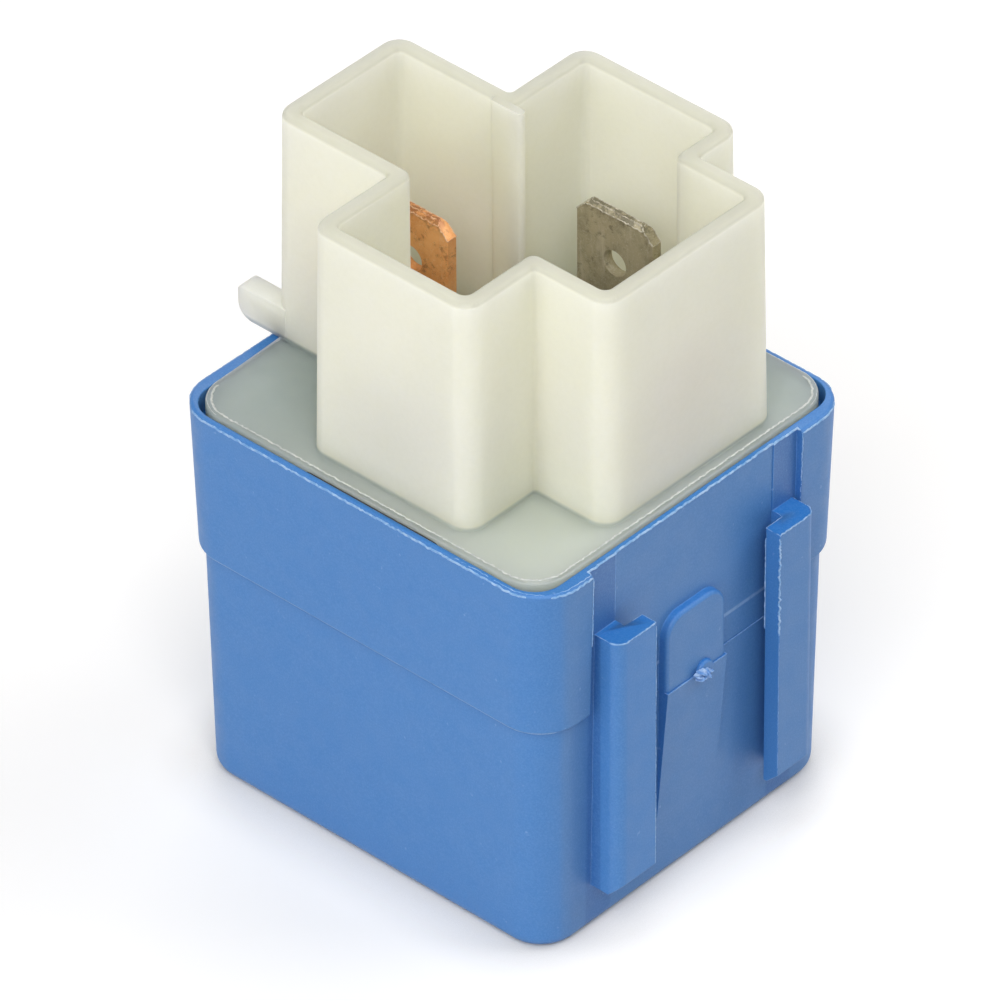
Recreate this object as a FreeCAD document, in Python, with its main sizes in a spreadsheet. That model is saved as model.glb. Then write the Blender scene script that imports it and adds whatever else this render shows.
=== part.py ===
import FreeCAD, Part
import math
import os
import Sketcher

# A plug-in relay standing on the closed end of its cover, with the plug shroud on top.
# Millimetres, +Z up. The origin is the middle of the cover's foot; the rails face +X.

Vector = FreeCAD.Vector
Rotation = FreeCAD.Rotation

# How far a cutting shape runs past the face it opens
PAST = 1

doc = FreeCAD.newDocument("relay")
sheet = doc.addObject("Spreadsheet::Sheet", "Sizes")

SIZES = {
    # Cover
    "cover_slope": 0.015,
    "cover_corner": 2.75,
    "cover_foot_round": 1.00,
    "cover_wall": 1.15,
    "cover_floor": 1.20,
    "rim_height": 28.98,
    "step_height": 17.78,
    "collar_proud": 0.39,
    "collar_slope": 0.024,
    "collar_corner": 3.10,
    "collar_lip_round": 0.32,
    "rim_bevel": 0.18,
    "relief_front_gap": 0.675,
    "relief_back_gap": 0.275,
    "seat_corner": 2.05,
    "seat_gap": 0.08,
    # Rails and tongue on the cover
    "rail_foot": 3.60,
    "rail_top": 23.70,
    "rail_inside": 7.30,
    "rail_web": 1.90,
    "rail_gap": 0.95,
    "rail_lip": 1.20,
    "rail_overhang": 1.55,
    "rail_round": 0.85,
    "rail_foot_bevel": 0.90,
    "tongue_centre": -0.30,
    "tongue_width": 5.50,
    "tongue_top": 21.20,
    "tongue_round": 1.60,
    "tongue_height": 0.63,
    "tongue_edge": 0.30,
    "tongue_tail": 5.00,
    "tongue_step": 0.10,
    "parting_height": 15.60,
    "zone_depth": 0.07,
    "gate_shift": 0.65,
    "gate_radius": 0.75,
    "gate_stub": 0.30,
    # Base plate and plug shroud
    "rim_wall_end": 0.96,
    "rim_wall_side": 0.45,
    "plate_corner": 2.80,
    "plate_proud": 0.25,
    "plate_thickness": 1.75,
    "skirt_height": 3.00,
    "skirt_wall": 1.20,
    "skirt_corner": 1.40,
    "skirt_gap": 0.10,
    "bead_length": 10.00,
    "bead_height": 0.70,
    "bead_proud": 0.22,
    "bead_level": 1.60,
    "bead_gap": 0.06,
    "catch_length": 10.00,
    "catch_centre": 1.10,
    "catch_depth": 0.50,
    "catch_lip": 0.20,
    "catch_height": 1.00,
    "shroud_height": 17.05,
    "shroud_wall": 1.15,
    "shroud_slope": 0.013,
    "shroud_corner": 1.35,
    "shroud_notch": 0.30,
    "shroud_inside": 0.50,
    "shroud_bend": 0.70,
    "shroud_top_round": 0.38,
    "shroud_root": 0.12,
    "post_start": 0.36,
    "post_end": 2.19,
    "post_proud": 0.32,
    "post_depth": 0.58,
    "post_round": 0.26,
    "left_lobe_reach": 0.50,
    "left_lobe_front": 5.08,
    "left_lobe_back": 6.24,
    "right_lobe_inset": 1.24,
    "right_lobe_front": 6.15,
    "right_lobe_back": 9.05,
    "front_lobe_inset": 1.70,
    "front_lobe_left": 5.55,
    "front_lobe_right": 7.46,
    "back_lobe_inset": 0.85,
    "back_lobe_left": 5.74,
    "back_lobe_right": 7.34,
    "tab_reach": 3.20,
    "tab_thickness": 1.55,
    "tab_height": 2.45,
    "tab_round": 1.20,
    "tab_edge": 0.40,
    # Blades
    "blade_width": 6.30,
    "blade_thickness": 0.80,
    "blade_reach": 9.73,
    "blade_corner": 1.00,
    "blade_bevel": 0.24,
    "blade_hole": 1.85,
    "blade_hole_drop": 3.80,
    "slot_gap": 0.02,
    "coil_blade_x": 1.00,
    "coil_blade_clear": 2.67,
    "tang_width": 1.20,
    "tang_inset": 0.20,
    "tang_clear": 0.10,
    "load_blade_clear": 2.01,
    "load_blade_y": 0.80,
    "load_strip_width": 2.50,
    "common_blade_clear": 1.93,
    "common_clear": 3.40,
    # Magnet
    "bobbin_clear": 0.20,
    "pole_level": 6.40,
    "pole_radius": 4.40,
    "pole_thickness": 1.30,
    "core_radius": 3.00,
    "core_neck": 2.10,
    "core_head": 2.80,
    "core_head_height": 0.40,
    "yoke_thickness": 1.60,
    "yoke_clear": 1.77,
    "yoke_bend": 1.80,
    "yoke_reach": 4.80,
    "yoke_drop": 0.95,
    "post_radius": 1.00,
    "post_spread": 4.30,
    "post_inset": 0.20,
    "post_root": 0.20,
    "bobbin_side": 14.63,
    "bobbin_room": 2.55,
    "lead_room": 0.665,
    "bobbin_wall": 0.65,
    "bobbin_flange": 1.00,
    "bobbin_gap": 0.05,
    "winding_inset": 0.45,
    "winding_gap": 0.05,
    "tape_thickness": 0.10,
    "lead_radius": 0.15,
    # Armature, springs and contacts
    "armature_clear": 1.50,
    "armature_width": 9.00,
    "armature_thickness": 1.30,
    "armature_notch": 1.20,
    "armature_gap": 0.08,
    "hinge_inset": 0.60,
    "open_angle": 2.60,
    "leaf_thickness": 0.30,
    "leaf_width": 8.00,
    "leaf_tongue": 4.40,
    "leaf_margin": 0.30,
    "leaf_inset": 0.70,
    "leaf_shoulder": 2.00,
    "contact_inset": 2.40,
    "contact_drop": 2.15,
    "contact_radius": 1.60,
    "contact_height": 1.00,
    "contact_neck": 0.80,
    "contact_tail": 0.35,
    "contact_gap": 0.08,
    "contact_spread": 0.30,
    "foot_margin": 0.30,
    "foot_thickness": 0.80,
    "spring_leg": 6.60,
    "spring_bend": 1.05,
    "spring_clear": 0.25,
    "spring_tail": 2.55,
    "spring_width": 7.00,
    "rivet_head": 0.95,
    "rivet_neck": 0.60,
    "rivet_height": 0.35,
    "rivet_spread": 2.40,
    "rivet_drop": 2.50,
    "rivet_inset": 5.70,
    "stop_thickness": 0.70,
    "stop_width": 2.20,
    "stop_y": 4.45,
    "stop_clear": 0.10,
    "stop_gap": 0.10,
    "stop_reach": 4.70,
    "stop_root": 1.00,
    # Coil suppressor
    "resistor_clear": 0.86,
    "resistor_drop": 1.45,
    "resistor_radius": 1.00,
    "resistor_length": 7.00,
    "resistor_lead": 0.30,
}


class Size:
    """A length that knows its value and its formula in the sheet."""

    def __init__(self, value, text):
        self.value = value
        self.text = text

    def __add__(self, other):
        other = as_size(other)
        return Size(self.value + other.value, "(%s + %s)" % (self.text, other.text))

    def __sub__(self, other):
        other = as_size(other)
        return Size(self.value - other.value, "(%s - %s)" % (self.text, other.text))

    def __mul__(self, other):
        other = as_size(other)
        return Size(self.value * other.value, "(%s * %s)" % (self.text, other.text))

    def __truediv__(self, other):
        other = as_size(other)
        return Size(self.value / other.value, "(%s / %s)" % (self.text, other.text))

    def __radd__(self, other):
        return as_size(other) + self

    def __rsub__(self, other):
        return as_size(other) - self

    def __rmul__(self, other):
        return as_size(other) * self

    def __neg__(self):
        return as_size(0) - self


def as_size(item):
    if isinstance(item, Size):
        return item
    return Size(float(item), repr(float(item)))


class Names:
    """Holds one Size for each row of the sheet."""


s = Names()
for row, (name, value) in enumerate(SIZES.items(), start=1):
    sheet.set("A%d" % row, name)
    sheet.set("B%d" % row, repr(value))
    sheet.setAlias("B%d" % row, name)
    setattr(s, name, Size(value, "Sizes." + name))
doc.recompute()

nodes = {}


def bind(item, path, size):
    item.setExpression(path, as_size(size).text)


def move_to(item, x, y, z):
    for axis, size in zip("xyz", (x, y, z)):
        bind(item, "Placement.Base." + axis, size)


def settle(item):
    """Recomputes and stops with the object's name if it failed."""
    doc.recompute()
    if "Invalid" in item.State or "Error" in item.State or item.Shape.isNull():
        raise RuntimeError("could not build " + item.Label)
    return item


# Plain shapes

def block(name, low, high):
    item = doc.addObject("Part::Box", name)
    for path, first, last in zip(("Length", "Width", "Height"), low, high):
        bind(item, path, as_size(last) - first)
    move_to(item, *low)
    return item


TURN = {
    "z": Rotation(),
    "x": Rotation(Vector(0, 1, 0), 90),
    "y": Rotation(Vector(1, 0, 0), -90),
}


def rod(name, start, radius, length, axis="z"):
    item = doc.addObject("Part::Cylinder", name)
    item.Placement = FreeCAD.Placement(Vector(), TURN[axis])
    bind(item, "Radius", radius)
    bind(item, "Height", length)
    move_to(item, *start)
    return item


def joined(name, items):
    item = doc.addObject("Part::MultiFuse", name)
    item.Shapes = items
    item.Refine = True
    return item


def without(name, base, tools):
    item = doc.addObject("Part::Cut", name)
    item.Base = base
    item.Tool = tools[0] if len(tools) == 1 else joined(name + "_tools", tools)
    item.Refine = True
    return item


def node(name, item):
    item.Label = name
    nodes[name] = item
    return item


# Bodies made of features

def new_body(name):
    return doc.addObject("PartDesign::Body", name)


def plane_of(body, role):
    return next(item for item in body.Origin.OriginFeatures if item.Role == role)


def new_sketch(body, name, role, level):
    item = body.newObject("Sketcher::SketchObject", name)
    item.AttachmentSupport = [(plane_of(body, role), "")]
    item.MapMode = "FlatFace"
    bind(item, "AttachmentOffset.Base.z", level)
    return item


def draw(sketch, corners):
    """Draws a closed outline with every corner set from the sketch's origin."""
    corners = [(as_size(x), as_size(y)) for x, y in corners]
    count = len(corners)
    first = sketch.GeometryCount
    spots = [Vector(x.value, y.value, 0) for x, y in corners]
    lines = [Part.LineSegment(spots[i], spots[(i + 1) % count]) for i in range(count)]
    sketch.addGeometry(lines, False)
    for i in range(count):
        link = Sketcher.Constraint("Coincident", first + i, 2, first + (i + 1) % count, 1)
        sketch.addConstraint(link)
    for i, corner in enumerate(corners):
        for kind, size in zip(("DistanceX", "DistanceY"), corner):
            limit = Sketcher.Constraint(kind, -1, 1, first + i, 1, size.value)
            number = sketch.addConstraint(limit)
            sketch.setExpression("Constraints[%d]" % number, size.text)


def pad(body, name, role, level, corners, length):
    sketch = new_sketch(body, name + "_outline", role, level)
    draw(sketch, corners)
    item = body.newObject("PartDesign::Pad", name)
    item.Profile = sketch
    bind(item, "Length", length)
    sketch.Visibility = False
    return settle(item)


def feature_block(body, kind, name, low, high):
    before = body.Shape.Volume if body.Tip else 0
    item = body.newObject("PartDesign::%sBox" % kind, name)
    for path, first, last in zip(("Length", "Width", "Height"), low, high):
        bind(item, path, as_size(last) - first)
    move_to(item, *low)
    settle(item)
    if kind == "Subtractive" and item.Shape.Volume > before - 1e-4:
        raise RuntimeError(name + " cuts nothing")
    return item


def feature_rod(body, kind, name, start, radius, length, axis="z"):
    before = body.Shape.Volume if body.Tip else 0
    item = body.newObject("PartDesign::%sCylinder" % kind, name)
    item.Placement = FreeCAD.Placement(Vector(), TURN[axis])
    bind(item, "Radius", radius)
    bind(item, "Height", length)
    move_to(item, *start)
    settle(item)
    if kind == "Subtractive" and item.Shape.Volume > before - 1e-4:
        raise RuntimeError(name + " cuts nothing")
    return item


def feature_wedge(body, name, low, high, top_low, top_high):
    """Adds a block whose four sides lean: low and high bound the foot, the others the top."""
    item = body.newObject("PartDesign::AdditiveWedge", name)
    item.Placement = FreeCAD.Placement(Vector(), Rotation(Vector(1, 0, 0), 90))
    bind(item, "Xmin", low[0])
    bind(item, "Xmax", high[0])
    bind(item, "Ymin", low[2])
    bind(item, "Ymax", high[2])
    bind(item, "Zmin", -as_size(high[1]))
    bind(item, "Zmax", -as_size(low[1]))
    bind(item, "X2min", top_low[0])
    bind(item, "X2max", top_high[0])
    bind(item, "Z2min", -as_size(top_high[1]))
    bind(item, "Z2max", -as_size(top_low[1]))
    return settle(item)


def dress(body, kind, name, size, test):
    """Rounds or bevels the edges of the body that pass a test."""
    base = body.Tip
    edges = ["Edge%d" % i for i, edge in enumerate(base.Shape.Edges, start=1) if test(edge)]
    if not edges:
        raise RuntimeError(name + " finds no edge")
    item = body.newObject("PartDesign::" + kind, name)
    item.Base = (base, edges)
    bind(item, "Radius" if kind == "Fillet" else "Size", size)
    return settle(item)


def is_upright(edge):
    box = edge.BoundBox
    return box.ZLength > 0.95 * edge.Length and edge.Length > 0.5


def upright_near(spots, reach=0.6):
    """A test for upright edges beside one of the given places in plan."""
    places = [(as_size(x).value, as_size(y).value) for x, y in spots]

    def test(edge):
        middle = edge.BoundBox.Center
        near = [abs(middle.x - x) < reach and abs(middle.y - y) < reach for x, y in places]
        return is_upright(edge) and any(near)

    return test


def level_edges(height, reach=0.01, keep=None):
    """A test for level edges at one height."""
    height = as_size(height).value

    def test(edge):
        box = edge.BoundBox
        level = box.ZLength < reach and abs(box.ZMin - height) < reach
        return level and (keep is None or keep(box.Center))

    return test


# Plan: the coil is as wide as it is, and the terminals, plate and cover stand around it

half_side = s.bobbin_side / 2
winding_radius = half_side - s.winding_inset
blade_inset = s.shroud_wall + s.coil_blade_clear + s.blade_thickness
coil_run = s.load_strip_width + s.bobbin_room + s.bobbin_side + s.bobbin_clear + s.yoke_thickness
left_run = s.shroud_wall + s.load_blade_clear - s.left_lobe_reach
right_run = s.shroud_wall + s.common_blade_clear + s.right_lobe_inset + s.blade_thickness
plate_x = (left_run + coil_run + right_run) / 2
plate_y = half_side + s.lead_room + blade_inset + (s.front_lobe_inset + s.back_lobe_inset) / 2
coil_y = (s.front_lobe_inset - s.back_lobe_inset) / 2
yoke_right = plate_x - right_run
yoke_left = yoke_right - s.yoke_thickness
coil_x = yoke_left - s.bobbin_clear - half_side

# Cover: a drafted cup, a collar round its mouth, two rails and a tongue

seat_x = plate_x + s.seat_gap
seat_y = plate_y + s.seat_gap
collar_spread = s.collar_slope * (s.rim_height - s.step_height)
collar_x = seat_x + s.rim_wall_end - collar_spread
collar_y = seat_y + s.rim_wall_side - collar_spread
half_length = collar_x - s.collar_proud - s.cover_slope * s.step_height
half_depth = collar_y - s.collar_proud - s.cover_slope * s.step_height
rim_spread = s.cover_slope * s.rim_height
plate_foot = s.rim_height + s.plate_proud - s.plate_thickness
plate_top = s.rim_height + s.plate_proud
cavity_x = half_length - s.cover_wall
cavity_y = half_depth - s.cover_wall


def face_x(height):
    """Where the cover's +X face lies at a height."""
    return half_length + s.cover_slope * height


cup = new_body("cup")
feature_wedge(
    cup, "cup_block",
    (-half_length, -half_depth, 0), (half_length, half_depth, s.rim_height),
    (-half_length - rim_spread, -half_depth - rim_spread),
    (half_length + rim_spread, half_depth + rim_spread))
dress(cup, "Fillet", "cup_corners", s.cover_corner, is_upright)
dress(cup, "Fillet", "cup_foot", s.cover_foot_round, level_edges(0))

collar = new_body("collar")
feature_wedge(
    collar, "collar_block",
    (-collar_x, -collar_y, s.step_height), (collar_x, collar_y, s.rim_height),
    (-collar_x - collar_spread, -collar_y - collar_spread),
    (collar_x + collar_spread, collar_y + collar_spread))
dress(collar, "Fillet", "collar_corners", s.collar_corner, is_upright)
dress(collar, "Fillet", "collar_lip", s.collar_lip_round, level_edges(s.step_height))
dress(collar, "Chamfer", "collar_rim", s.rim_bevel, level_edges(s.rim_height))
web_outside = s.rail_inside + s.rail_web
feature_block(
    collar, "Subtractive", "collar_relief",
    (cavity_x, -web_outside - s.relief_front_gap, s.step_height),
    (collar_x + collar_spread + PAST, web_outside + s.relief_back_gap, s.rim_height))

wall_middle = half_length - s.cover_wall / 2
lip_edge = s.rail_inside - s.rail_overhang
rail_back = face_x(s.parting_height) + s.rail_gap
rail_front = rail_back + s.rail_lip
rail_length = s.rail_top - s.rail_foot
cover_pieces = [collar]
for side, sign in (("left", -1), ("right", 1)):
    rail = new_body("rail_" + side)
    pad(rail, "rail_bar_" + side, "XY_Plane", s.rail_foot, [
        (wall_middle, sign * s.rail_inside),
        (rail_back, sign * s.rail_inside),
        (rail_back, sign * lip_edge),
        (rail_front, sign * lip_edge),
        (rail_front, sign * web_outside),
        (wall_middle, sign * web_outside)], rail_length)
    dress(rail, "Chamfer", "rail_end_" + side, s.rail_foot_bevel,
          level_edges(s.rail_foot, keep=lambda spot: spot.x > rail_front.value - 0.01))
    dress(rail, "Fillet", "rail_corner_" + side, s.rail_round,
          upright_near([(rail_front, sign * web_outside)]))
    cover_pieces.append(rail)

tongue_low = s.tongue_centre - s.tongue_width / 2
tongue_high = s.tongue_centre + s.tongue_width / 2
tongue_front = face_x(s.parting_height) + s.tongue_height
tongue_depth = tongue_front - wall_middle
tongue = new_body("tongue")
pad(tongue, "tongue_plate", "YZ_Plane", wall_middle, [
    (tongue_low, s.parting_height),
    (tongue_high, s.parting_height),
    (tongue_high, s.tongue_top),
    (tongue_low, s.tongue_top)], tongue_depth)
dress(tongue, "Fillet", "tongue_arch", s.tongue_round,
      lambda edge: edge.BoundBox.XLength > 0.9 * edge.Length
      and edge.BoundBox.ZMin > s.tongue_top.value - 0.01)
dress(tongue, "Fillet", "tongue_edge", s.tongue_edge,
      lambda edge: edge.BoundBox.XMin > tongue_front.value - 0.01
      and edge.BoundBox.ZMax > s.parting_height.value + 0.01)
tail = new_body("tongue_tail")
pad(tail, "tail_wedge", "XZ_Plane", -tongue_high, [
    (wall_middle, s.tongue_tail),
    (face_x(s.tongue_tail), s.tongue_tail),
    (tongue_front + s.tongue_step, s.parting_height),
    (wall_middle, s.parting_height)], s.tongue_width)
gate = rod("gate", (wall_middle, s.tongue_centre + s.gate_shift, s.parting_height),
           s.gate_radius, tongue_depth + s.gate_stub, "x")
zone_top = s.rim_height + PAST
zone_end = face_x(zone_top) + PAST
zone = new_body("zone")
feature_wedge(
    zone, "zone_block",
    (face_x(s.parting_height) - s.zone_depth, -s.rail_inside, s.parting_height),
    (zone_end, s.rail_inside, zone_top),
    (face_x(zone_top) - s.zone_depth, -s.rail_inside),
    (zone_end, s.rail_inside))
cover_pieces += [without("cup_zone", cup, [zone]), tongue, tail, gate]

hollow = new_body("hollow")
feature_block(hollow, "Additive", "hollow_block",
              (-cavity_x, -cavity_y, s.cover_floor), (cavity_x, cavity_y, s.rim_height + PAST))
dress(hollow, "Fillet", "hollow_corners", s.skirt_corner, is_upright)
seat = new_body("seat")
feature_block(seat, "Additive", "seat_block",
              (-seat_x, -seat_y, plate_foot), (seat_x, seat_y, s.rim_height + PAST))
dress(seat, "Fillet", "seat_corners", s.seat_corner, is_upright)
skirt_x = cavity_x - s.skirt_gap
skirt_y = cavity_y - s.skirt_gap
bead_low = plate_foot - s.bead_level - s.bead_height
bead_left = s.catch_centre - s.bead_length / 2
bead_right = s.catch_centre + s.bead_length / 2
groove_y = skirt_y + s.bead_proud + s.bead_gap
groove = block("groove", (bead_left - s.bead_gap, -groove_y, bead_low - s.bead_gap),
               (bead_right + s.bead_gap, groove_y, bead_low + s.bead_height + s.bead_gap))
node("cover", without("cover_cup", joined("cover_outside", cover_pieces), [hollow, seat, groove]))

# Base: plate, skirt, plug shroud and side tab in one moulding

left_end = plate_x + s.left_lobe_reach
right_end = plate_x - s.right_lobe_inset
front_end = plate_y - s.front_lobe_inset
back_end = plate_y - s.back_lobe_inset
shroud_top = plate_top + s.shroud_height
shroud_foot = plate_top - s.shroud_root
lean = s.shroud_slope * (s.shroud_height + s.shroud_root)
MIDDLE = as_size(0)
lobes = {
    "left": (-left_end, -s.left_lobe_front, MIDDLE, s.left_lobe_back),
    "right": (MIDDLE, -s.right_lobe_front, right_end, s.right_lobe_back),
    "front": (-s.front_lobe_left, -front_end, s.front_lobe_right, MIDDLE),
    "back": (-s.back_lobe_left, MIDDLE, s.back_lobe_right, back_end),
}


def for_sides(lobe, size):
    """The size for each outer side of a lobe, and nothing where it meets the others."""
    return [0 if side is MIDDLE else size for side in lobe]


base = new_body("base_moulding")
for name, lobe in lobes.items():
    x_low, y_low, x_high, y_high = lobe
    reach = for_sides(lobe, lean)
    feature_wedge(
        base, name + "_lobe",
        (x_low - reach[0], y_low - reach[1], shroud_foot),
        (x_high + reach[2], y_high + reach[3], shroud_top),
        (x_low, y_low), (x_high, y_high))
outer_corners = [
    (-left_end, -s.left_lobe_front), (-left_end, s.left_lobe_back),
    (right_end, -s.right_lobe_front), (right_end, s.right_lobe_back),
    (-s.front_lobe_left, -front_end), (s.front_lobe_right, -front_end),
    (-s.back_lobe_left, back_end), (s.back_lobe_right, back_end)]
notch_corners = [
    (-s.front_lobe_left, -s.left_lobe_front), (-s.back_lobe_left, s.left_lobe_back),
    (s.front_lobe_right, -s.right_lobe_front), (s.back_lobe_right, s.right_lobe_back)]
dress(base, "Fillet", "shroud_corners", s.shroud_corner, upright_near(outer_corners))
dress(base, "Fillet", "shroud_notches", s.shroud_notch, upright_near(notch_corners))
feature_block(base, "Additive", "plate",
              (-plate_x, -plate_y, plate_foot),
              (plate_x, plate_y, plate_top))
dress(base, "Fillet", "plate_corners", s.plate_corner, upright_near([
    (-plate_x, -plate_y), (plate_x, -plate_y),
    (-plate_x, plate_y), (plate_x, plate_y)]))


def inward(place):
    """Moves a place in plan through the shroud's wall."""
    x, y = place
    step_x = s.shroud_wall if x.value < 0 else -s.shroud_wall
    step_y = s.shroud_wall if y.value < 0 else -s.shroud_wall
    return x + step_x, y + step_y


for name, lobe in lobes.items():
    x_low, y_low, x_high, y_high = lobe
    shift = for_sides(lobe, s.shroud_wall)
    feature_block(
        base, "Subtractive", name + "_hollow",
        (x_low + shift[0], y_low + shift[1], plate_top),
        (x_high - shift[2], y_high - shift[3], shroud_top + PAST))
dress(base, "Fillet", "shroud_insides", s.shroud_inside,
      upright_near([inward(place) for place in outer_corners], 0.3))
dress(base, "Fillet", "shroud_bends", s.shroud_bend,
      upright_near([inward(place) for place in notch_corners], 0.3))


def on_outline(spot):
    """Tells the shroud's outer top edges from its inner ones."""
    for lobe in lobes.values():
        x_low, y_low, x_high, y_high = [side.value for side in lobe]
        room = [as_size(size).value for size in for_sides(lobe, s.shroud_wall * 0.75)]
        beside = x_low + room[0] < spot.x < x_high - room[2]
        if beside and y_low + room[1] < spot.y < y_high - room[3]:
            return False
    return True


dress(base, "Fillet", "shroud_rim", s.shroud_top_round, level_edges(shroud_top, keep=on_outline))

# A round-edged post stands inside the corner between the left lobe and the back one
post_left = -s.back_lobe_left - s.post_start
post_right = -s.back_lobe_left + s.post_end
post_front = s.left_lobe_back - s.shroud_wall - s.post_proud
post_back = post_front + s.post_depth
feature_block(base, "Additive", "corner_post",
              (post_left, post_front, plate_top - s.plate_thickness / 2),
              (post_right, post_back, shroud_top))
dress(base, "Fillet", "post_edges", s.post_round, upright_near(
    [(post_left, post_front), (post_right, post_front), (post_right, post_back)], 0.05))

skirt_foot = plate_foot - s.skirt_height
feature_block(base, "Additive", "skirt_block",
              (-skirt_x, -skirt_y, skirt_foot), (skirt_x, skirt_y, plate_foot))
dress(base, "Fillet", "skirt_corners", s.skirt_corner,
      upright_near([(-skirt_x, -skirt_y), (skirt_x, -skirt_y), (-skirt_x, skirt_y), (skirt_x, skirt_y)]))
feature_block(base, "Subtractive", "skirt_hollow",
              (s.skirt_wall - skirt_x, s.skirt_wall - skirt_y, skirt_foot),
              (skirt_x - s.skirt_wall, skirt_y - s.skirt_wall, plate_foot))
for side, edge in (("front", -skirt_y - s.bead_proud), ("back", skirt_y - s.skirt_wall / 2)):
    feature_block(base, "Additive", side + "_bead", (bead_left, edge, bead_low),
                  (bead_right, edge + s.bead_proud + s.skirt_wall / 2, bead_low + s.bead_height))
catch_top = plate_top - s.catch_lip
for side, edge in (("front", -plate_y), ("back", plate_y - s.catch_depth)):
    feature_block(base, "Subtractive", side + "_catch",
                  (s.catch_centre - s.catch_length / 2, edge, catch_top - s.catch_height),
                  (s.catch_centre + s.catch_length / 2, edge + s.catch_depth, catch_top))
tab_front = -s.left_lobe_front - lean
tab_end = -left_end - s.tab_reach
tab_top = shroud_foot + s.tab_height
feature_block(base, "Additive", "tab_block", (tab_end, tab_front, shroud_foot),
              (-left_end + s.shroud_wall * 0.8, tab_front + s.tab_thickness, tab_top))


def tab_edge(height):
    """A test for the edge across the tab's end at a height."""
    def test(edge):
        box = edge.BoundBox
        beside = abs(box.XMin - tab_end.value) < 0.01 and abs(box.XMax - tab_end.value) < 0.01
        return beside and box.YLength > 0.5 and abs(box.Center.z - height.value) < 0.01
    return test


dress(base, "Fillet", "tab_heel", s.tab_round, tab_edge(shroud_foot))
dress(base, "Fillet", "tab_nose", s.tab_edge, tab_edge(tab_top))

# Blades: flat terminals with bevelled tips, set through slots in the plate

blade_tip = plate_top + s.blade_reach
half_blade = s.blade_width / 2


def blade_outline(centre, lower):
    """A blade's outline: the tip's bevelled corners, then the given points below the plate."""
    left = centre - half_blade
    right = centre + half_blade
    return lower + [
        (right, blade_tip - s.blade_corner),
        (right - s.blade_corner, blade_tip),
        (left + s.blade_corner, blade_tip),
        (left, blade_tip - s.blade_corner)]


def finish_blade(body, name, across, along, axis):
    """Bevels the tip and drills the latch hole."""
    dress(body, "Chamfer", name + "_tip", s.blade_bevel,
          lambda edge: abs(edge.BoundBox.ZMin - blade_tip.value) < 0.01
          and edge.Length > 2 * s.blade_thickness.value)
    start = (along, across - PAST, blade_tip - s.blade_hole_drop)
    if axis == "x":
        start = (across - PAST, along, blade_tip - s.blade_hole_drop)
    feature_rod(body, "Subtractive", name + "_hole", start, s.blade_hole / 2,
                s.blade_thickness + 2 * PAST, axis)


def slot(name, low, high, top):
    """Cuts a terminal's slot through the plate, a little larger than the terminal."""
    feature_block(base, "Subtractive", name,
                  (low[0] - s.slot_gap, low[1] - s.slot_gap, plate_foot),
                  (high[0] + s.slot_gap, high[1] + s.slot_gap, top))


coil_blade_back_y = back_end - blade_inset + s.blade_thickness / 2
coil_blade_front_y = blade_inset - front_end - s.blade_thickness / 2
yoke_top = plate_foot - s.yoke_drop
yoke_under = yoke_top - s.yoke_thickness
bobbin_top = yoke_under - s.bobbin_gap
tang_end = bobbin_top + s.tang_clear
tang_left = s.coil_blade_x - half_blade + s.tang_inset
for letter, middle in (("a", coil_blade_back_y), ("b", coil_blade_front_y)):
    label = "coil_terminal_" + letter
    front = middle - s.blade_thickness / 2
    back = middle + s.blade_thickness / 2
    terminal = new_body(label + "_strip")
    pad(terminal, label + "_blank", "XZ_Plane", -back, blade_outline(s.coil_blade_x, [
        (s.coil_blade_x - half_blade, plate_foot),
        (tang_left, plate_foot),
        (tang_left, tang_end),
        (tang_left + s.tang_width, tang_end),
        (tang_left + s.tang_width, plate_foot),
        (s.coil_blade_x + half_blade, plate_foot)]), s.blade_thickness)
    finish_blade(terminal, label, front, s.coil_blade_x, "y")
    node(label, terminal)
    slot(label + "_slot", (s.coil_blade_x - half_blade, front),
         (s.coil_blade_x + half_blade, back), plate_top)

# Where the mechanism stands between the blades, the yoke and the skirt
common_left = yoke_right
common_right = common_left + s.blade_thickness
hinge_x = yoke_right - s.hinge_inset
stop_x = s.skirt_wall - skirt_x + s.stop_clear
contact_x = stop_x + s.contact_inset
spring_leg_top = s.pole_level + s.spring_leg

# Levels in the closed position, from the pole face down
armature_top = s.pole_level - s.armature_gap
armature_foot = armature_top - s.armature_thickness
leaf_foot = armature_foot - s.leaf_thickness
contact_y = coil_y - s.contact_drop
fixed_face = armature_foot + s.contact_height + s.contact_gap
foot_level = fixed_face + s.contact_height

load_left = s.shroud_wall - left_end + s.load_blade_clear
load_blade_x = load_left + half_blade
load_strip_right = load_left + s.load_strip_width
load_front = s.load_blade_y - s.blade_thickness / 2
load_back = s.load_blade_y + s.blade_thickness / 2
load = new_body("load_strip")
pad(load, "load_blank", "XZ_Plane", -load_back, blade_outline(load_blade_x, [
    (load_left, foot_level),
    (load_strip_right, foot_level),
    (load_strip_right, plate_foot),
    (load_blade_x + half_blade, plate_foot)]), s.blade_thickness)
finish_blade(load, "load", load_front, load_blade_x, "y")
foot_right = contact_x + s.contact_radius + s.foot_margin
feature_block(load, "Additive", "load_foot",
              (load_left, contact_y - s.contact_radius - s.foot_margin, foot_level),
              (foot_right, load_back, foot_level + s.foot_thickness))
feature_rod(load, "Subtractive", "load_rivet_hole", (contact_x, contact_y, foot_level - PAST),
            s.contact_neck, s.foot_thickness + 2 * PAST)
node("load_terminal", load)
slot("load_slot", (load_left, load_front), (load_blade_x + half_blade, load_back), plate_top)

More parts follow.
